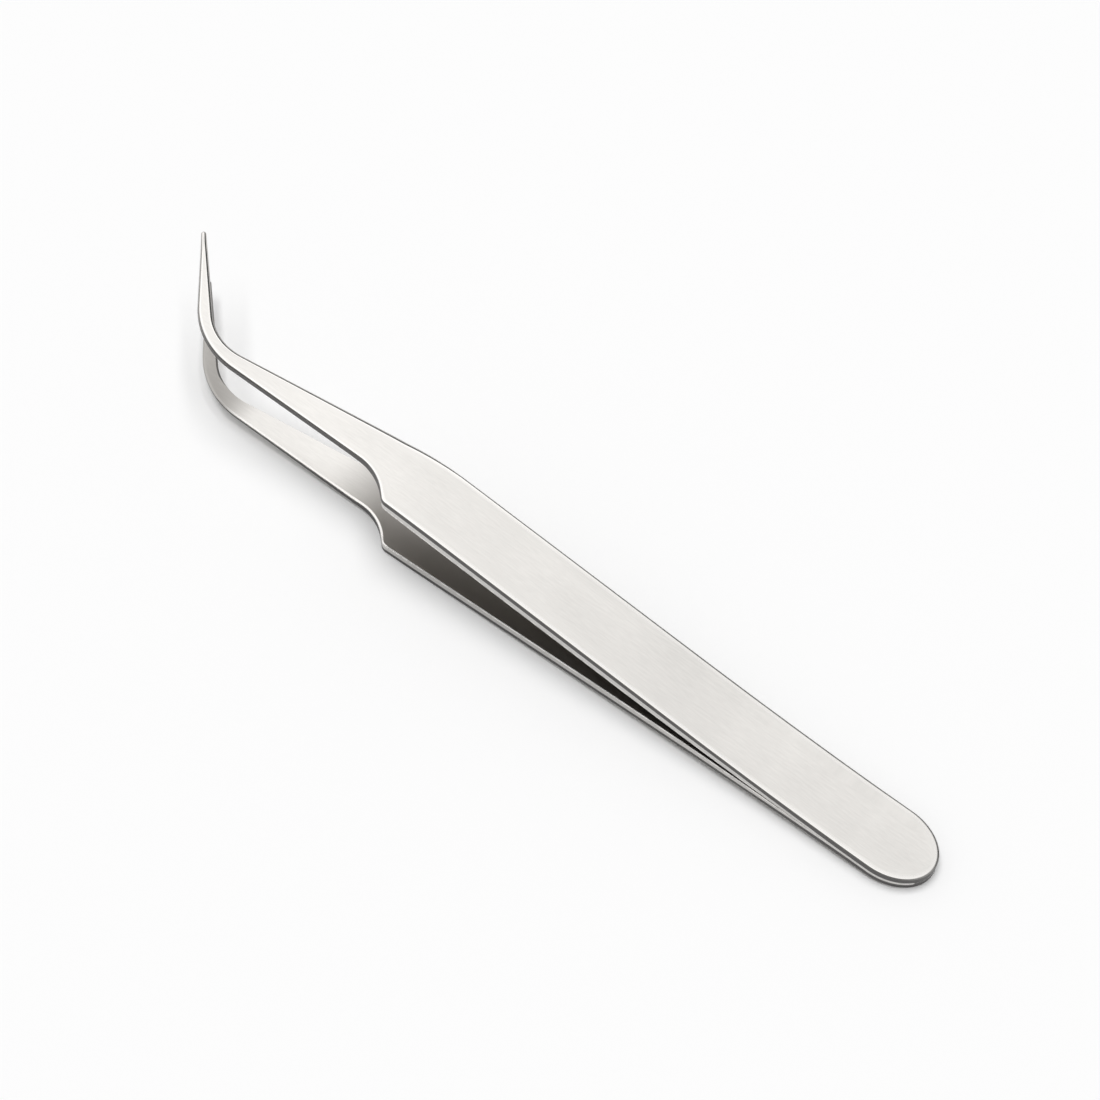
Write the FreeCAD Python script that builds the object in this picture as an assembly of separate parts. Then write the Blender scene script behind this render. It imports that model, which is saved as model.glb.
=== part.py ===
"""Bent-tip precision tweezers: two mirrored spring leaves, welded face to face at the rear.

Each leaf is a ground steel blank. Its plan outline and its bowed side profile are drawn
apart and cut into each other. Working frame: X runs from the rear end to the tips, +Y is
the side of the shoulder notch, the tips bend to -Y, and Z = 0 is the plane where the two
leaves meet. The finished pair is tilted to lie on the lower leaf, as it does on a table.
Millimetres and degrees.
"""
import FreeCAD, Part
import math
import os

# Plan outline, seen square to the leaf
length = 120.0              # rear end to tip
width = 9.0                 # across the parallel grip
rear_round = 6.0            # length of the rounded rear end
shoulder_at = 77.1          # rear end to the outer corner of the shoulder notch
shoulder_step = 2.95        # how far the notch steps in to the shank
shoulder_slope = 43.0       # angle of the notch's flank to the grip edge
shoulder_corner = 1.2       # radius of the notch's outer corner
shoulder_blend = 7.0        # radius from the flank into the shank
taper_at = 76.0             # rear end to the start of the long taper
taper_angle = 7.7           # taper of the edge on the side that the tips bend to
taper_blend = 50.0          # radius from the grip edge into the taper
tip_reach = 10.8            # bend's outer corner, before rounding, to the tip along X
bend_angle = 50.5           # turn of the tips' outer edge from the shank
bend_outer = 12.2           # radius of the bend's outer edge
bend_inner = 8.0            # radius of the bend's inner edge
tip_taper = 6.0             # angle between the two edges of the tip
tip_radius = 0.33           # round of the tip

# Side profile of one leaf, with heights from the plane where the leaves meet
weld_length = 12.0          # length of the flat faces that are welded together
weld_thickness = 1.1        # leaf thickness at the rear end
inner_angle = 4.5           # slope of the inner face along the grip
inner_spring = 28.0         # length of the curve in which the inner face opens
outer_start = 3.0           # rear end to the start of the outer face's curve
outer_angle = 4.75          # slope of the outer face along the grip
outer_spring = 32.0         # length of the outer face's curve
belly_at = 69.0             # rear end to the curve that turns the leaf back
belly_length = 15.5         # length of that curve
toe_in = 0.4                # slope of the outer face towards the tips
relief_at = 72.0            # start of the thinning on the inner face
relief_end = 84.0           # end of the thinning
relief_blend = 40.0         # radius at both ends of the thinning
shank_thickness = 1.05      # leaf thickness at the end of the thinning
tip_thickness = 0.7         # leaf thickness at the tip

edge_break = 0.3            # radius along the outer face's edge
cut_margin = 3.0            # how far the side profile runs past the outline

V = FreeCAD.Vector


def sin(angle):
    return math.sin(math.radians(angle))


def cos(angle):
    return math.cos(math.radians(angle))


def tan(angle):
    return math.tan(math.radians(angle))


def meeting_point(start_a, angle_a, start_b, angle_b):
    """Point where two lines cross, each given by a point and a direction."""
    across = start_b[0] - start_a[0]
    up = start_b[1] - start_a[1]
    run = (across * sin(angle_b) - up * cos(angle_b)) / sin(angle_b - angle_a)
    return (start_a[0] + run * cos(angle_a), start_a[1] + run * sin(angle_a))


def corner_arc(before, corner, after, radius):
    """Start, middle, end and centre of the arc that rounds one corner of an outline."""
    apex = V(corner[0], corner[1], 0)
    back = (V(before[0], before[1], 0) - apex).normalize()
    ahead = (V(after[0], after[1], 0) - apex).normalize()
    half = back.getAngle(ahead) / 2
    inward = (back + ahead).normalize()
    centre = apex + inward * (radius / math.sin(half))
    reach = radius / math.tan(half)
    return apex + back * reach, centre - inward * radius, apex + ahead * reach, centre


def rounded_run(points, radii):
    """Edges along points: straight runs, with a tangent arc at each corner between them."""
    edges = []
    here = V(points[0][0], points[0][1], 0)
    for index, radius in enumerate(radii):
        start, middle, end, _ = corner_arc(*points[index:index + 3], radius)
        edges.append(Part.LineSegment(here, start).toShape())
        edges.append(Part.Arc(start, middle, end).toShape())
        here = end
    edges.append(Part.LineSegment(here, V(points[-1][0], points[-1][1], 0)).toShape())
    return edges


def rear_oval():
    """Half an ellipse round the rear end, from the -Y edge to the +Y edge."""
    side = width / 2
    poles = [V(rear_round, -side, 0), V(0, -side, 0), V(0, 0, 0), V(0, side, 0), V(rear_round, side, 0)]
    quarter = math.sqrt(0.5)
    curve = Part.BSplineCurve()
    curve.buildFromPolesMultsKnots(poles, [3, 2, 3], [0, 1, 2], False, 2, [1, quarter, 1, quarter, 1])
    return curve.toShape()


def plan_face():
    """The leaf's outline as a face."""
    side = width / 2
    shank = side - shoulder_step
    notch = (shoulder_at, side)
    foot = (shoulder_at + shoulder_step / tan(shoulder_slope), shank)
    bend = (length - tip_reach, shank)
    # The tip's circle touches the outer edge of the bent tip and ends at the full length
    tip_x = length - tip_radius
    tip_y = shank - (tip_reach - tip_radius) * tan(bend_angle) - tip_radius / cos(bend_angle)
    inner_edge = tip_taper - bend_angle
    touch = (tip_x + tip_radius * sin(inner_edge), tip_y - tip_radius * cos(inner_edge))
    apex = meeting_point(bend, -bend_angle, touch, inner_edge)
    taper = (taper_at, -side)
    inner_bend = meeting_point(touch, inner_edge, taper, taper_angle)
    points = [(rear_round, side), notch, foot, bend, apex, inner_bend, taper, (rear_round, -side)]
    radii = [shoulder_corner, shoulder_blend, bend_outer, tip_radius, bend_inner, taper_blend]
    return Part.Face(Part.Wire(rounded_run(points, radii) + [rear_oval()]))


def outer_points():
    """Corners of the outer face's profile as (x, height), and the radii that round them."""
    spring_radius = outer_spring / sin(outer_angle)
    belly_turn = outer_angle + toe_in
    belly_radius = belly_length / (sin(outer_angle) + sin(toe_in))
    spring = (outer_start + spring_radius * tan(outer_angle / 2), weld_thickness)
    belly_x = belly_at + belly_radius * tan(belly_turn / 2) * cos(outer_angle)
    belly = (belly_x, weld_thickness + (belly_x - spring[0]) * tan(outer_angle))
    end_x = length + cut_margin
    end = (end_x, belly[1] - (end_x - belly_x) * tan(toe_in))
    return [(-cut_margin, weld_thickness), spring, belly, end], [spring_radius, belly_radius]


def inner_points():
    """Corners of the inner face's profile as (x, height), and the radii that round them."""
    spring_radius = inner_spring / sin(inner_angle)
    spring_x = weld_length + spring_radius * tan(inner_angle / 2)
    outer_end = outer_points()[0][-1]
    shank = (relief_end, outer_end[1] + (outer_end[0] - relief_end) * tan(toe_in) - shank_thickness)
    tip = (length, outer_end[1] + cut_margin * tan(toe_in) - tip_thickness)
    rise = (tip[1] - shank[1]) / (tip[0] - shank[0])
    end = (length + cut_margin, tip[1] + rise * cut_margin)
    relief = (relief_at, (relief_at - spring_x) * tan(inner_angle))
    points = [(-cut_margin, 0), (spring_x, 0), relief, shank, end]
    return points, [spring_radius, relief_blend, relief_blend]


def side_face():
    """The leaf's side profile as a face in the XZ plane."""
    outer, outer_radii = outer_points()
    inner, inner_radii = inner_points()
    edges = rounded_run(outer, outer_radii) + rounded_run(inner, inner_radii)
    for top, bottom in ((outer[0], inner[0]), (outer[-1], inner[-1])):
        edges.append(Part.LineSegment(V(top[0], top[1], 0), V(bottom[0], bottom[1], 0)).toShape())
    face = Part.Face(Part.Wire(Part.sortEdges(edges)[0]))
    face.rotate(V(0, 0, 0), V(1, 0, 0), 90)
    return face


def faces_outward(face):
    """True for a face that belongs to the leaf's outer side."""
    u_low, u_high, v_low, v_high = face.ParameterRange
    return face.normalAt((u_low + u_high) / 2, (v_low + v_high) / 2).z > cos(30)


def outer_rim(solid):
    """Edges between the outer face and the leaf's side walls."""
    rim = []
    for edge in solid.Edges:
        sides = [faces_outward(face) for face in solid.ancestorsOfType(edge, Part.Face)]
        if sorted(sides) == [False, True]:
            rim.append(edge)
    return rim


def leaf():
    """The upper leaf: the outline cut into the bowed profile, with its outer edge broken."""
    outer, _ = outer_points()
    tallest = max(height for _, height in outer) + cut_margin
    outline = plan_face().extrude(V(0, 0, tallest))
    profile = side_face()
    profile.translate(V(0, length, 0))
    blank = outline.common(profile.extrude(V(0, -2 * length, 0)))
    solid = blank.Solids[0]
    return solid.makeFillet(edge_break, outer_rim(solid)).Solids[0]


def resting_tilt():
    """Angle at which the rear end and the belly of the lower leaf both touch the table."""
    points, radii = outer_points()
    belly = corner_arc(*points[1:4], radii[1])[3]
    across = belly.x - edge_break
    up = belly.y - (weld_thickness - edge_break)
    return math.degrees(math.atan2(up, across) + math.asin((radii[1] - edge_break) / math.hypot(across, up)))


def main():
    upper = leaf()
    lower = upper.mirror(V(0, 0, 0), V(0, 0, 1))
    pair = Part.Compound([upper, lower])
    pair.rotate(V(0, 0, 0), V(0, 1, 0), -resting_tilt())
    box = pair.optimalBoundingBox(False)
    pair.translate(V(-(box.XMin + box.XMax) / 2, -(box.YMin + box.YMax) / 2, -box.ZMin))
    os.makedirs("parts", exist_ok=True)
    for name, solid in zip(("upper_leaf", "lower_leaf"), pair.Solids):
        solid.exportStep("parts/" + name + ".step")
        print(name, round(solid.Volume, 2), "mm3", "valid" if solid.isValid() else "not valid")
    box = pair.optimalBoundingBox(False)
    print("box", round(box.XLength, 2), round(box.YLength, 2), round(box.ZLength, 2))
    print("rest tilt", round(resting_tilt(), 3))


main()
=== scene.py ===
"""Bent-tip precision tweezers in brushed steel, lying on a pale floor under soft light.

Each leaf is a fine mesh on the driving sizes of the part's solids, with rounded and polished
edges. Its vertices are worked out in millimetres, from the rear end to the tips along X, and
turn into metres when the leaf is laid down.
"""
import math

import bmesh
import bpy
import numpy as np
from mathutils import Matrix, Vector


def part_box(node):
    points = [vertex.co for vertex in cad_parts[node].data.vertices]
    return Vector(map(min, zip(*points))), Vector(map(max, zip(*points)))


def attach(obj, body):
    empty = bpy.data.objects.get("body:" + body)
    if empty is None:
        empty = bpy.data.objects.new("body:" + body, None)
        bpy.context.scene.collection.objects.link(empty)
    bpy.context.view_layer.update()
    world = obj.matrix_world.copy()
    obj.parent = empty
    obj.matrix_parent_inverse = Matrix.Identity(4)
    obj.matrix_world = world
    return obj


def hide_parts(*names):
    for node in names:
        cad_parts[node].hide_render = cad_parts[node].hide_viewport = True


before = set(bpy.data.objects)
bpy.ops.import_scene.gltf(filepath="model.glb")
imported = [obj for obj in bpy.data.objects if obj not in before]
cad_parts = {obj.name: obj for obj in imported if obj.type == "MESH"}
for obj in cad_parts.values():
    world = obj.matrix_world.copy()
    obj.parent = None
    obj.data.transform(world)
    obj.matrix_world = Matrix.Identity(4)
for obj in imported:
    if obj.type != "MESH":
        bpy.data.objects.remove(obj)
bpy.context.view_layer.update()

MILLIMETRE = 0.001
MARKS = ("rim", "inner_shade", "rough_and_shade")      # finish marks and painted shade that the mesh carries for the steel's material

# Plan outline, seen square to the leaf
length = 120.0              # rear end to tip
width = 9.0                 # across the parallel grip
rear_round = 6.0            # length of the rounded rear end
shoulder_at = 77.1          # rear end to the outer corner of the shoulder notch
shoulder_step = 2.95        # how far the notch steps in to the shank
shoulder_slope = 43.0       # angle of the notch's flank to the grip edge
shoulder_corner = 1.2       # radius of the notch's outer corner
shoulder_blend = 7.0        # radius from the flank into the shank
taper_at = 76.0             # rear end to the start of the long taper
taper_angle = 7.7           # taper of the edge on the side that the tips bend to
taper_blend = 50.0          # radius from the grip edge into the taper
tip_reach = 10.8            # bend's outer corner, before rounding, to the tip along X
bend_angle = 50.5           # turn of the tips' outer edge from the shank
bend_outer = 12.2           # radius of the bend's outer edge
bend_inner = 8.0            # radius of the bend's inner edge
tip_taper = 6.0             # angle between the two edges of the tip
tip_radius = 0.33           # round of the tip

# Side profile of one leaf, with heights from the plane where the leaves meet
weld_length = 12.0          # length of the flat faces that are welded together
weld_thickness = 1.1        # leaf thickness at the rear end
inner_angle = 4.5           # slope of the inner face along the grip
inner_spring = 28.0         # length of the curve in which the inner face opens
outer_start = 3.0           # rear end to the start of the outer face's curve
outer_angle = 4.75          # slope of the outer face along the grip
outer_spring = 32.0         # length of the outer face's curve
belly_at = 69.0             # rear end to the curve that turns the leaf back
belly_length = 15.5         # length of that curve
toe_in = 0.4                # slope of the outer face towards the tips
relief_at = 72.0            # start of the thinning on the inner face
relief_end = 84.0           # end of the thinning
relief_blend = 40.0         # radius at both ends of the thinning
shank_thickness = 1.05      # leaf thickness at the end of the thinning
tip_thickness = 0.7         # leaf thickness at the tip
edge_break = 0.3            # radius along the solids' outer edge
profile_margin = 3.0        # how far the side profile runs past the outline

# Finish of the outer edges in this mesh: a polished roll on the face, then a small round
roll_angle = 9.0            # angle at which the face rolls over into the round
tip_dressing = 1.5          # length at the tips where the rounds get smaller again
# At the rear end, both ends of the grip, the shank, the bend, just behind the tip and at the tip:
roll_width = (0.5, 0.5, 0.5, 0.25, 0.12, 0.05, 0.03)
near_round = (0.22, 0.16, 0.16, 0.2, 0.46, 0.44, 0.27)
far_round = (0.22, 0.34, 0.34, 0.75, 0.5, 0.44, 0.27)
# The two edges meet at the rear end and at the tip, so their rounds are equal there
round_rough_shade = 1.15          # how steeply the round's finish turns from polished to rough with painted shade, per its width

# Finish of the side walls and inner edges, with painted shade on the walls
burnish_and_shade = 0.46              # how far the wall's smooth zone is from polished to rough; this also paints part of the shade on it
bevel_polish = 0.6          # polish of the bevel that dresses the inner edges
rough_shade_share = 0.34        # share of the grip's wall, beside the outer face, that is rough and painted dark as shade
rough_shade_rear = 0.7          # the same round the rear end's side
rear_reach = (10.0, 24.0)   # rear end to where that share starts to fall and has fallen
rough_shade_blur = 0.1            # share of the wall over which the rough zone with painted shade fades
tip_rough_shade_cut = 0.5            # how far the tips' own dressing takes that roughness and painted shade off
rear_rough_shade = (0.66, 0.78)   # how far back a wall faces where the rear's rough walls with painted shade start and are full
dressing_angle = 23.0       # slope of the narrow bevel that dresses the inner edges
dressing_width = 0.22       # its width
dressing_near = 76.0        # rear end to where it starts on the notched edge
dressing_far = 107.0        # rear end to where it starts on the other edge
dressing_fade = 2.0         # length in which it grows to its width
seam_edge = 0.005           # radius along the inner face's edge where the leaves are welded
inner_edge = 0.06           # the same in front of the weld
seam_fade = 3.0             # length in which the weld's flush seam opens
notch_reach = 1.4           # how far from the notch's corner the insets start to turn with it
inner_shade_until = (79.0, 90.0)   # rear end to where the painted shade on the inner faces between the leaves fades and is gone
tip_shade_from = (101.0, 106.0)    # rear end to where the painted shade on the tips' inner faces starts and is full
tip_shade_depth = 0.65         # how dark that painted shade at the tips is
crease_hold = 0.08          # share of the bevel's width, at each side, that keeps its creases crisp
support = 0.025             # distance of the mesh lines that keep flat faces flat

# Fineness of the mesh
arc_step = 1.0              # degrees between points on an arc
edge_steps = 6              # strips round the outer edge
roll_steps = 3              # strips in the roll beside it
inner_edge_steps = 4        # strips round the inner edge
face_steps = 6              # strips across a face
wall_steps = 3              # strips up the side wall
station_gaps = (0.15, 0.5, 0.8, 0.12, 0.5, 0.2, 0.25, 0.05)     # along the edges, stretch by stretch
same_place = 1e-4           # points closer than this are one


def sin(angle):
    return math.sin(math.radians(angle))


def cos(angle):
    return math.cos(math.radians(angle))


def tan(angle):
    return math.tan(math.radians(angle))


def heading_of(start, end):
    return math.degrees(math.atan2(end[1] - start[1], end[0] - start[0]))


def step(point, heading, run):
    """The point reached from another by a run along a heading."""
    return (point[0] + run * cos(heading), point[1] + run * sin(heading))


def meeting_point(start_a, angle_a, start_b, angle_b):
    """Point where two lines cross, each given by a point and a direction."""
    across = start_b[0] - start_a[0]
    up = start_b[1] - start_a[1]
    run = (across * sin(angle_b) - up * cos(angle_b)) / sin(angle_b - angle_a)
    return step(start_a, angle_a, run)


def arc(start, heading, radius, turn):
    """Rows of x, y and heading along an arc that starts at a point; a left turn is positive."""
    side = math.copysign(90, turn)
    centre = step(start, heading + side, radius)
    count = math.ceil(abs(turn) / arc_step)
    rows = []
    for now in np.linspace(heading, heading + turn, count + 1):
        rows.append((*step(centre, now - side, radius), now))
    return rows


def rounded_line(points, radii):
    """Rows of x, y and heading along straight runs, with a tangent arc at each inner point."""
    headings = [heading_of(start, end) for start, end in zip(points, points[1:])]
    rows = [(*points[0], headings[0])]
    for corner, radius, before, after in zip(points[1:], radii, headings, headings[1:]):
        turn = after - before
        rows += arc(step(corner, before, -radius * tan(abs(turn) / 2)), before, radius, turn)
    rows.append((*points[-1], headings[-1]))
    return rows


def rear_quarter(side):
    """Rows round a quarter of the rear end's ellipse, from its apex to the grip's edge."""
    rows = []
    for angle in np.arange(0, 90, arc_step):
        x = rear_round * (1 - cos(angle))
        y = side * width / 2 * sin(angle)
        heading = math.atan2(width / 2 * cos(angle), rear_round * sin(angle))
        rows.append((x, y, side * math.degrees(heading)))
    return rows


class Edge:
    """One long edge of the leaf's outline, from the rear end's apex to the tip's apex."""

    def __init__(self, rear, body, tip, side):
        self.x, self.y, self.heading = np.array(rear + body + tip).T
        self.side = side
        self.run = np.concatenate([[0], np.cumsum(np.hypot(np.diff(self.x), np.diff(self.y)))])
        self.notch = None
        # The body's last two rows are the end of the bend and the start of the tip's round
        self.bend_end = self.run[len(rear) + len(body) - 2]
        self.touch = self.run[len(rear) + len(body) - 1]
        self.end = self.run[-1]

    def run_at_x(self, x):
        """Distance along the edge, up to the bend, at a distance from the rear end."""
        before_bend = self.run < self.end - tip_reach
        return np.interp(x, self.x[before_bend], self.run[before_bend])

    def sample(self, runs):
        """Points at distances along the edge, and the directions square to it into the leaf."""
        points = np.stack([np.interp(runs, self.run, self.x), np.interp(runs, self.run, self.y)], 1)
        heading = np.interp(runs, self.run, self.heading)
        if self.notch is not None:
            ends = [self.notch - notch_reach, self.notch + notch_reach]
            spread = np.interp(runs, ends, np.interp(ends, self.run, self.heading))
            heading = np.where(np.abs(runs - self.notch) < notch_reach, spread, heading)
        inward = np.radians(heading - self.side * 90)
        return points, np.stack([np.cos(inward), np.sin(inward)], 1)


def outline():
    """The leaf's two edges: the notched one and the one that the tips bend to."""
    side = width / 2
    shank = side - shoulder_step
    notch = (shoulder_at, side)
    foot = (shoulder_at + shoulder_step / tan(shoulder_slope), shank)
    bend = (length - tip_reach, shank)
    tip_x = length - tip_radius
    tip_y = shank - (tip_reach - tip_radius) * tan(bend_angle) - tip_radius / cos(bend_angle)
    inner_angle_at_tip = tip_taper - bend_angle
    outer_touch = step((tip_x, tip_y), 90 - bend_angle, tip_radius)
    inner_touch = step((tip_x, tip_y), inner_angle_at_tip - 90, tip_radius)
    taper = (taper_at, -side)
    inner_bend = meeting_point(inner_touch, inner_angle_at_tip, taper, taper_angle)
    half_turn = 90 - tip_taper / 2

    near = rounded_line([(rear_round, side), notch, foot, bend, outer_touch],
                        [shoulder_corner, shoulder_blend, bend_outer])
    far = rounded_line([(rear_round, -side), taper, inner_bend, inner_touch],
                       [taper_blend, bend_inner])
    near_tip = arc(outer_touch, -bend_angle, tip_radius, -half_turn)[1:]
    far_tip = arc(inner_touch, inner_angle_at_tip, tip_radius, half_turn)[1:]
    notched = Edge(rear_quarter(1), near, near_tip, 1)
    notched.notch = notched.run_at_x(shoulder_at)
    return notched, Edge(rear_quarter(-1), far, far_tip, -1)


def outer_points():
    """Corners of the outer face's profile as (x, height), and the radii that round them."""
    spring_radius = outer_spring / sin(outer_angle)
    belly_turn = outer_angle + toe_in
    belly_radius = belly_length / (sin(outer_angle) + sin(toe_in))
    spring = (outer_start + spring_radius * tan(outer_angle / 2), weld_thickness)
    belly_x = belly_at + belly_radius * tan(belly_turn / 2) * cos(outer_angle)
    belly = (belly_x, weld_thickness + (belly_x - spring[0]) * tan(outer_angle))
    end_x = length + profile_margin
    end = (end_x, belly[1] - (end_x - belly_x) * tan(toe_in))
    return [(-profile_margin, weld_thickness), spring, belly, end], [spring_radius, belly_radius]


def inner_points():
    """Corners of the inner face's profile as (x, height), and the radii that round them."""
    spring_radius = inner_spring / sin(inner_angle)
    spring_x = weld_length + spring_radius * tan(inner_angle / 2)
    outer_end = outer_points()[0][-1]
    shank = (relief_end, outer_end[1] + (outer_end[0] - relief_end) * tan(toe_in) - shank_thickness)
    tip = (length, outer_end[1] + profile_margin * tan(toe_in) - tip_thickness)
    rise = (tip[1] - shank[1]) / (tip[0] - shank[0])
    end = (length + profile_margin, tip[1] + rise * profile_margin)
    relief = (relief_at, (relief_at - spring_x) * tan(inner_angle))
    points = [(-profile_margin, 0), (spring_x, 0), relief, shank, end]
    return points, [spring_radius, relief_blend, relief_blend]


def height_curve(corners):
    """A function from the distance along the leaf to the height of one face's profile."""
    table = np.array(rounded_line(*corners))
    return lambda x: np.interp(x, table[:, 0], table[:, 1])


def resting_tilt():
    """Angle at which the rear end and the belly of the lower leaf both touch the floor."""
    points, radii = outer_points()
    radius = radii[1]
    heading = heading_of(points[1], points[2])
    start = step(points[2], heading, -radius * tan((outer_angle + toe_in) / 2))
    centre = step(start, heading - 90, radius)
    across = centre[0] - edge_break
    up = centre[1] - (weld_thickness - edge_break)
    return math.degrees(math.atan2(up, across) + math.asin((radius - edge_break) / math.hypot(across, up)))


def stations(near, far):
    """Matched distances along the two edges, closer together where the outline turns."""
    keys = [(0.0, 0.0)]
    notch_end = shoulder_at + shoulder_step + shoulder_blend
    for x in (rear_round, weld_length + seam_fade, relief_at, notch_end, length - 2 * tip_reach):
        keys.append((near.run_at_x(x), far.run_at_x(x)))
    keys += [(near.bend_end, far.bend_end), (near.touch, far.touch), (near.end, far.end)]
    near_runs = [0.0]
    far_runs = [0.0]
    for start, end, gap in zip(keys, keys[1:], station_gaps):
        count = math.ceil(max(end[0] - start[0], end[1] - start[1]) / gap)
        near_runs += list(np.linspace(start[0], end[0], count + 1)[1:])
        far_runs += list(np.linspace(start[1], end[1], count + 1)[1:])
    return np.array(near_runs), np.array(far_runs)


class Section:
    """Columns of mesh points that run the length of the leaf, in order round its section."""

    def __init__(self, along):
        self.along = along
        self.columns = []
        self.marks = []

    def add(self, flat, height, marks, across):
        """One column: its places in plan, heights, finish and painted-shade marks and place across the grain.
        """
        self.columns.append(np.column_stack([flat, height]))
        values = [mark + 0 * height for mark in marks]
        self.marks.append(np.column_stack(values + [self.along, across + 0 * height]))


def edge_profile(x, edge_round):
    """Insets, heights and polish down the outer edge, from the flat face to the side wall."""
    places = [0, 2 * rear_round, relief_at, shoulder_at + shoulder_step, length - tip_reach,
              length - tip_dressing, length]
    roll = np.interp(x, places, roll_width)
    radius = np.interp(x, places, edge_round)
    roll_radius = roll / sin(roll_angle)
    inset = roll + radius * (1 - sin(roll_angle))
    profile = []
    for tilt in np.linspace(0, roll_angle, roll_steps + 1):
        profile.append((inset - roll_radius * sin(tilt), -roll_radius * (1 - cos(tilt)), tilt / roll_angle))
    drop = roll_radius * (1 - cos(roll_angle))
    for tilt in np.linspace(roll_angle, 90, edge_steps + 1)[1:]:
        profile.append((radius * (1 - sin(tilt)), -drop - radius * (cos(roll_angle) - cos(tilt)), 1))
    return profile


def inner_profile(x, dressing_from):
    """Insets and heights round the inner edge, from the inner face down the bevel to the side wall."""
    radius = np.interp(x, [weld_length, weld_length + seam_fade], [seam_edge, inner_edge])
    full = dressing_from + dressing_fade
    bevel = np.interp(x, [dressing_from, full, length - tip_reach, length],
                      [0, dressing_width, dressing_width, dressing_width / 2])
    tilts = np.linspace(0, 90, inner_edge_steps + 1)
    profile = []
    for tilt in np.append(tilts[tilts < dressing_angle], dressing_angle):
        profile.append((radius * (1 - sin(tilt)) + bevel, radius * (1 - cos(tilt))))
    inset, rise = profile[-1]
    for share in (crease_hold, 1 - crease_hold):
        profile.append((inset - bevel * share, rise + bevel * share * tan(dressing_angle)))
    for tilt in np.insert(tilts[tilts > dressing_angle], 0, dressing_angle):
        profile.append((radius * (1 - sin(tilt)), radius * (1 - cos(tilt)) + bevel * tan(dressing_angle)))
    return profile


def smooth_rise(x, span):
    """0 before a span along the leaf, 1 after it and a smooth change within it."""
    share = np.clip((x - span[0]) / (span[1] - span[0]), 0, 1)
    return share * share * (3 - 2 * share)


def inner_shade_amount(x):
    """How much painted shade the inner face gets: fully round the grip, hardly along the shank, partly at the
    tips.
    """
    return np.maximum(1 - smooth_rise(x, inner_shade_until), tip_shade_depth * smooth_rise(x, tip_shade_from))


def wall_rough_shade(x, inward):
    """Share of the wall, beside the outer face, that is rough and painted dark as shade, and how strong that
    mark is.
    """
    share = np.interp(x, [*rear_reach, shoulder_at, shoulder_at + shoulder_corner],
                      [rough_shade_rear, rough_shade_share, rough_shade_share, 1])
    share = np.maximum(share, np.interp(inward[:, 0], rear_rough_shade, [0, 1]))
    return share, np.interp(x, [length - tip_reach, length], [1, 1 - tip_rough_shade_cut])


def side_columns(points, inward, outer, inner, edge_round, dressing_from, sign):
    """One edge of the leaf, from the inner face up round the wall to the outer face."""
    x = points[:, 0]
    profile = edge_profile(x, edge_round)
    dressed = inner_profile(x, dressing_from)
    foot = inner(x) + dressed[-1][1]
    head = outer(x) + profile[-1][1]
    # Share and strength of the wall's roughness with painted shade
    share, full = wall_rough_shade(x, inward)
    rough = full * np.interp(share, [1 - rough_shade_blur, 1], [burnish_and_shade, 1])
    bright_top = foot + (head - foot) * np.clip(1 - share - rough_shade_blur / 2, rough_shade_blur, 1)
    rough_shade_foot = bright_top + (head - foot) * rough_shade_blur / 2

    # Marks: rim polish, painted shade between the leaves, and the wall's roughness with painted shade
    rows = [(dressed[0][0] + support, 0 * x, inner, (0, inner_shade_amount(x), 0))]
    tip_shade_rise = smooth_rise(x, tip_shade_from)
    for inset, rise in dressed:
        rows.append((inset, rise, inner, (bevel_polish * (1 - tip_shade_rise), inner_shade_amount(x) * tip_shade_rise, 0)))
    for part in np.linspace(0, 1, wall_steps + 1):
        rows.append((0 * x, foot + (bright_top - foot) * part, None, (1, 0, rough)))
    for part in np.linspace(0, 1, wall_steps + 1)[:-1]:
        rows.append((0 * x, rough_shade_foot + (head - rough_shade_foot) * part, None, (1, 0, full)))
    for inset, rise, polish in reversed(profile):
        # Near the wall the round also gets the roughness with painted shade
        rough_shade_on_round = np.clip(1 - round_rough_shade * inset / np.maximum(profile[roll_steps][0], support), 0, 1)
        rows.append((inset, rise, outer, (polish, 0, full * rough_shade_on_round)))
    rows.append((profile[0][0] + support, 0 * x, outer, (0, 0, 0)))

    columns = []
    for inset, rise, surface, marks in rows:
        flat = points + inward * inset[:, None]
        height = rise if surface is None else surface(flat[:, 0]) + rise
        columns.append((flat, height, marks, sign * (width / 2 - inset) + height))
    return columns


def leaf_section():
    """All mesh columns of the upper leaf, with its wall, edges and both faces."""
    near, far = outline()
    outer = height_curve(outer_points())
    inner = height_curve(inner_points())
    near_runs, far_runs = stations(near, far)
    near_side = side_columns(*near.sample(near_runs), outer, inner, near_round, dressing_near, 1)
    far_side = side_columns(*far.sample(far_runs), outer, inner, far_round, dressing_far, -1)
    section = Section((near_runs + far_runs) / 2)

    def add_face(start, end, surface, inner_shade):
        for share in np.linspace(0, 1, face_steps + 1)[1:-1]:
            flat = start[0] * (1 - share) + end[0] * share
            section.add(flat, surface(flat[:, 0]), (0, inner_shade * inner_shade_amount(flat[:, 0]), 0), flat[:, 1])

    for column in near_side:
        section.add(*column)
    add_face(near_side[-1], far_side[-1], outer, 0)
    for column in reversed(far_side):
        section.add(*column)
    # The inner face gets the painted shade between the leaves
    add_face(far_side[0], near_side[0], inner, 1)
    return section


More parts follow.
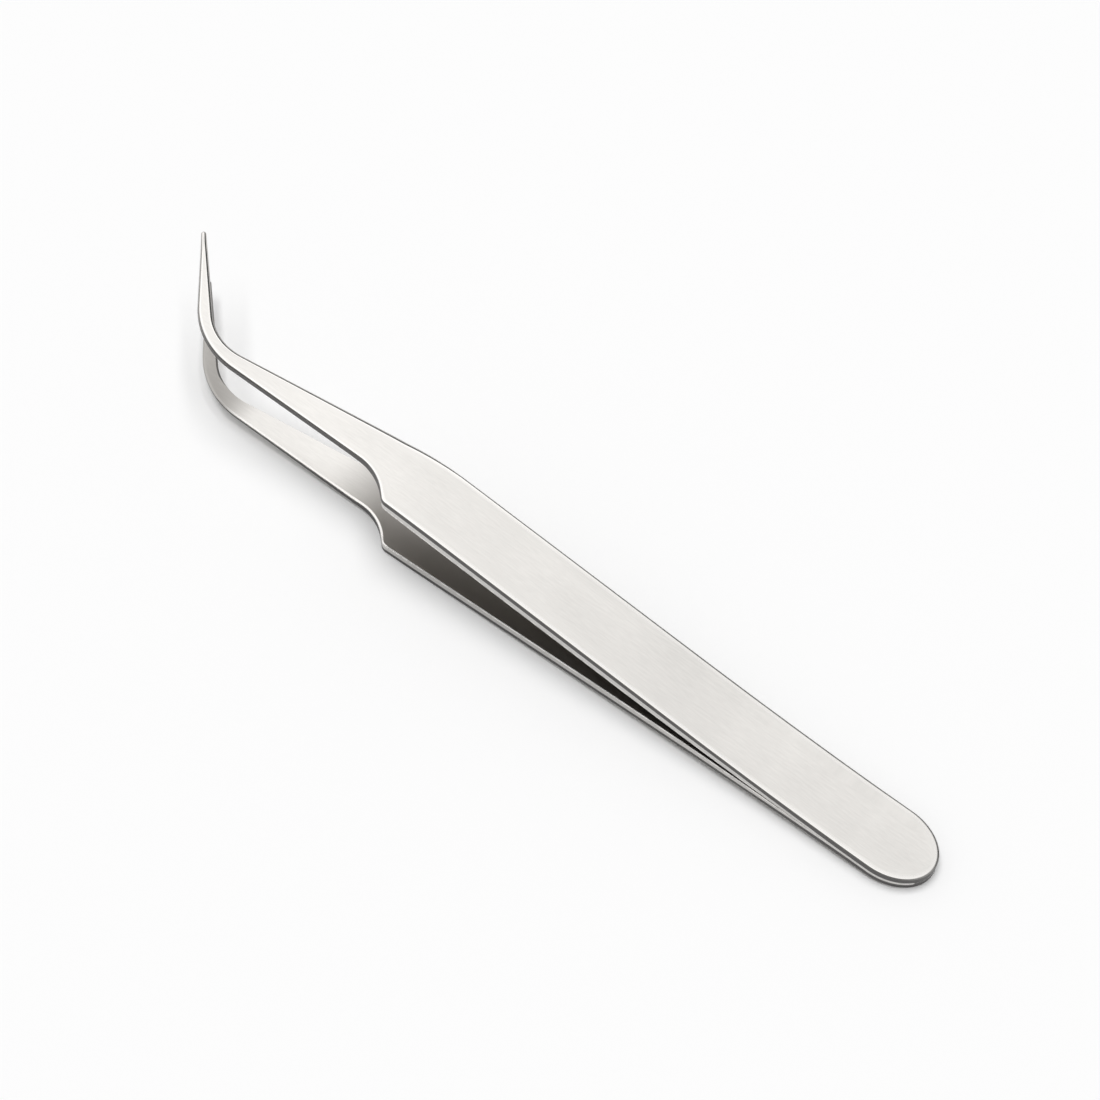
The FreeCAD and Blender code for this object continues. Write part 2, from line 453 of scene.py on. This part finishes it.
def lay_down(points):
    """Places in the frame, in metres, of points given in millimetres square to the leaves."""
    tilt = resting_tilt()
    x = points[:, 0] * cos(tilt) - points[:, 2] * sin(tilt)
    z = points[:, 0] * sin(tilt) + points[:, 2] * cos(tilt)
    rear_height = weld_thickness - edge_break
    rear_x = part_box("upper_leaf")[0].x / MILLIMETRE + rear_height * sin(tilt) + edge_break * (1 - cos(tilt))
    edge_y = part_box("upper_leaf")[1].y / MILLIMETRE - width / 2
    rear_z = rear_height * cos(tilt) + edge_break * (1 - sin(tilt))
    return np.column_stack([x + rear_x, points[:, 1] + edge_y, z + rear_z]) * MILLIMETRE


def make_leaf(name, section, mirrored):
    """A leaf's mesh object, with its finish and painted-shade marks and grain directions as attributes."""
    count = len(section.along)
    ring = len(section.columns)
    points = np.concatenate(section.columns)
    marks = np.concatenate(section.marks)
    if mirrored:
        points = points * (1, 1, -1)
    faces = []
    for column in range(ring):
        here = column * count
        beside = (column + 1) % ring * count
        for row in range(count - 1):
            faces.append((here + row, beside + row, beside + row + 1, here + row + 1))
    mesh = bpy.data.meshes.new(name)
    mesh.from_pydata(lay_down(points).tolist(), [], faces)
    for index, kind in enumerate(MARKS):
        mesh.attributes.new(kind, "FLOAT", "POINT").data.foreach_set("value", marks[:, index])
    grain = np.column_stack([marks[:, len(MARKS):], np.zeros(len(marks))])
    mesh.attributes.new("grain", "FLOAT_VECTOR", "POINT").data.foreach_set("vector", grain.ravel())
    piece = bpy.data.objects.new(name, mesh)
    bpy.context.collection.objects.link(piece)
    close_mesh(mesh)
    return piece


def close_mesh(mesh):
    """Join the columns' shared end points, turn the faces outward and shade them smooth."""
    work = bmesh.new()
    work.from_mesh(mesh)
    bmesh.ops.remove_doubles(work, verts=work.verts, dist=same_place * MILLIMETRE)
    bmesh.ops.recalc_face_normals(work, faces=work.faces)
    for face in work.faces:
        face.smooth = True
    work.to_mesh(mesh)
    work.free()


class Wire:
    """A shader socket that takes Python's arithmetic."""

    def __init__(self, graph, socket):
        self.graph = graph
        self.socket = socket

    def math(self, operation, first, second):
        return self.graph.add("Math", {"operation": operation}, {0: first, 1: second})[0]

    def __add__(self, other):
        return self.math("ADD", self, other)

    def __sub__(self, other):
        return self.math("SUBTRACT", self, other)

    def __rsub__(self, other):
        return self.math("SUBTRACT", other, self)

    def __mul__(self, other):
        return self.math("MULTIPLY", self, other)

    def magnitude(self):
        return self.math("ABSOLUTE", self, 0.0)

    __radd__ = __add__
    __rmul__ = __mul__


class Graph:
    """The node tree of a material, a world or a lamp, started empty."""

    def __init__(self, owner):
        owner.use_nodes = True
        self.tree = owner.node_tree
        self.tree.nodes.clear()

    def add(self, kind, settings=None, sockets=None):
        """A node of a kind, with its settings and then its sockets; gives its outputs."""
        node = self.tree.nodes.new("ShaderNode" + kind)
        for name, value in (settings or {}).items():
            setattr(node, name, value)
        for name, value in (sockets or {}).items():
            if isinstance(value, Wire):
                self.tree.links.new(value.socket, node.inputs[name])
            else:
                node.inputs[name].default_value = value
        return [Wire(self, socket) for socket in node.outputs if socket.enabled]

    def mix(self, share, first, second):
        """A colour between two others."""
        return self.add("Mix", {"data_type": "RGBA"}, {0: share, 6: first, 7: second})[0]


# Steel: its colours, two of which are painted shade, and how tone and gloss change with the brushing and the
# finish
STEEL = (0.865, 0.844, 0.812, 1)
POLISHED_STEEL = (0.97, 0.95, 0.92, 1)
# Painted shade for the dark line along the walls and round the rear end
PAINTED_EDGE_SHADE = (0.1, 0.096, 0.093, 1)
# Painted shade for the inner faces between the leaves
PAINTED_INNER_SHADE = (0.3, 0.285, 0.268, 1)
fine_streaks = (0.5, 4.0, 3.0)      # cells in each millimetre along and across the leaf, and detail
broad_streaks = (0.06, 0.12, 1.0)
streak_roughness = 0.6
plain_tone = 0.77           # tone of the satin face, before the streaks add to it
fine_tone = 0.24            # the most that a fine streak adds
broad_tone = 0.18
satin_roughness = 0.28
fine_roughness = 0.1        # the most that a fine streak adds
polished_roughness = 0.13
sheared_roughness = 0.3     # what the sheared zone adds
brush_strength = 0.25
brush_depth = 0.004         # depth of the brushing


def steel_material():
    """Satin steel brushed along the leaf, with polished rims, rough walls with a painted dark line of shade,
    and painted shade on the inner faces.
    """
    material = bpy.data.materials.new("brushed_steel")
    graph = Graph(material)
    grain = graph.add("Attribute", {"attribute_name": "grain"})[1]
    rim, inner_shade, rough_and_shade = (graph.add("Attribute", {"attribute_name": mark})[2] for mark in MARKS)

    def streaks(length_rate, width_rate, detail):
        """Noise drawn out along the leaf: cells in each millimetre along and across."""
        place = graph.add("Mapping", {}, {"Vector": grain, "Scale": (length_rate, width_rate, 1)})[0]
        return graph.add("TexNoise", {}, {
            "Vector": place, "Scale": 1.0, "Detail": detail, "Roughness": streak_roughness})[0]

    fine = streaks(*fine_streaks)
    broad = streaks(*broad_streaks)
    tone = plain_tone + fine_tone * fine + broad_tone * broad
    lit = graph.add("VectorMath", {"operation": "SCALE"}, {0: STEEL[:3], "Scale": tone})[0]
    # Painted shade: the inner faces between the leaves darken towards a dark steel colour
    color = graph.mix(inner_shade, lit, PAINTED_INNER_SHADE)
    color = graph.mix(rim, color, POLISHED_STEEL)
    # Painted shade: a dark line along the walls and round the rear end, where the edges would mirror dark
    # surroundings
    color = graph.mix(rough_and_shade, color, PAINTED_EDGE_SHADE)
    satin = satin_roughness + fine_roughness * fine
    roughness = satin - rim * (satin - polished_roughness) + rough_and_shade * sheared_roughness
    relief = fine * (1 - rim)
    normal = graph.add("Bump", {}, {
        "Strength": brush_strength, "Distance": brush_depth * MILLIMETRE, "Height": relief})[0]
    shader = graph.add("BsdfPrincipled", {}, {
        "Base Color": color, "Metallic": 1.0, "Roughness": roughness, "Normal": normal})[0]
    graph.add("OutputMaterial", {}, {"Surface": shader})
    return material


FLOOR_WHITE = (0.95, 0.95, 0.95, 1)
floor_half = 2.0            # half the floor's side, in metres


def floor_material():
    material = bpy.data.materials.new("pale_floor")
    graph = Graph(material)
    shader = graph.add("BsdfDiffuse", {}, {"Color": FLOOR_WHITE})[0]
    graph.add("OutputMaterial", {}, {"Surface": shader})
    return material


def make_floor():
    corners = []
    for x, y in ((-1, -1), (1, -1), (1, 1), (-1, 1)):
        corners.append((x * floor_half, y * floor_half, 0))
    mesh = bpy.data.meshes.new("floor")
    mesh.from_pydata(corners, [], [(0, 1, 2, 3)])
    floor = bpy.data.objects.new("floor", mesh)
    bpy.context.collection.objects.link(floor)
    mesh.materials.append(floor_material())


def make_world():
    """White for the camera, an even fill for the floor, and for gloss a softbox in a grey room."""
    world = bpy.data.worlds.new("studio")
    bpy.context.scene.world = world
    graph = Graph(world)
    direction = graph.add("TexCoord")[0]
    forward, sideways = graph.add("SeparateXYZ", {}, {0: direction})[:2]
    axis = Vector(softbox_axis).normalized()
    towards = graph.add("VectorMath", {"operation": "DOT_PRODUCT"}, {0: direction, 1: axis})[0]

    def fade(value, start, end, low, high):
        return graph.add("MapRange", {"interpolation_type": "SMOOTHSTEP"},
                         {"Value": value, 1: start, 2: end, 3: low, 4: high})[0]

    softbox = fade(towards, cos(softbox_reach + softbox_blur), cos(softbox_reach - softbox_blur), 0.0, 1.0)
    room = fade(sideways.magnitude(), card_start, card_end, room_grey, card_grey)
    gloss = room + softbox * (fade(forward, *softbox_turn, *softbox_levels) - room)
    path = graph.add("LightPath")
    camera, glossy = path[0], path[3]
    level = fill_level + glossy * (gloss - fill_level)
    level = level + camera * (1 - level)
    light = graph.add("Background", {}, {"Color": (1, 1, 1, 1), "Strength": level})[0]
    graph.add("OutputWorld", {}, {"Surface": light})


def make_lamp(name, place, target, size, power):
    """A square softbox that aims at a point; polished steel doesn't mirror it."""
    data = bpy.data.lights.new(name, "AREA")
    data.shape = "SQUARE"
    data.size = size
    data.energy = power
    lamp = bpy.data.objects.new(name, data)
    lamp.location = place
    lamp.rotation_euler = (Vector(target) - Vector(place)).to_track_quat("-Z", "Y").to_euler()
    lamp.visible_glossy = False
    bpy.context.collection.objects.link(lamp)


# Studio: directions and places are in the frame, in metres, where the leaves run along X
softbox_axis = (0.38, -0.19, 0.92)
softbox_reach = 40.0        # angle from that axis to the softbox's edge
softbox_blur = 4.0          # how far its edge fades, each way
softbox_levels = (0.96, 1.16)       # towards the rear end and towards the tips
softbox_turn = (0.08, 0.15)         # how far to the tips a direction points where the level changes
room_grey = 0.36
card_grey = 0.08            # dark cards stand along both long sides and draw the leaves' edges
card_start = 0.35           # how far sideways a direction points where the cards start
card_end = 0.65
fill_level = 0.336          # what the rest of the studio adds on matt surfaces
lamp_place = (0.3, -0.3, 9.0)       # far off, so that the floor stays even
lamp_size = 6.0
lamp_power = 640.0

# The photograph's view: the camera's heading and height angle, its distance, and what it looks at
view_heading = 38.03        # degrees that the picture's horizontal is turned from the leaves
view_rise = 57.0            # degrees above the floor
view_distance = 0.329
view_target = (0.001201, -0.004444, 0.0)
focal_pixels = 2695.6       # focal length in pixels of the picture
picture_pixels = 1100
sensor = 36.0               # width of the camera's sensor, in millimetres
view_nearest = 0.01


def make_camera():
    data = bpy.data.cameras.new("camera")
    data.sensor_width = sensor
    data.lens = sensor * focal_pixels / picture_pixels
    data.clip_start = view_nearest
    camera = bpy.data.objects.new("camera", data)
    back = Vector((-sin(view_heading) * cos(view_rise), cos(view_heading) * cos(view_rise), sin(view_rise)))
    camera.location = Vector(view_target) + back * view_distance
    camera.rotation_euler = (-back).to_track_quat("-Z", "Y").to_euler()
    bpy.context.collection.objects.link(camera)
    bpy.context.scene.camera = camera


def main():
    section = leaf_section()
    steel = steel_material()
    for node, mirrored in (("upper_leaf", False), ("lower_leaf", True)):
        piece = make_leaf(node + "_blade", section, mirrored)
        piece.data.materials.append(steel)
        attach(piece, "root")
        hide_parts(node)
    make_floor()
    make_world()
    make_lamp("key_softbox", lamp_place, (0, 0, 0), lamp_size, lamp_power)
    make_camera()
    bpy.context.scene.view_settings.view_transform = "Standard"


main()
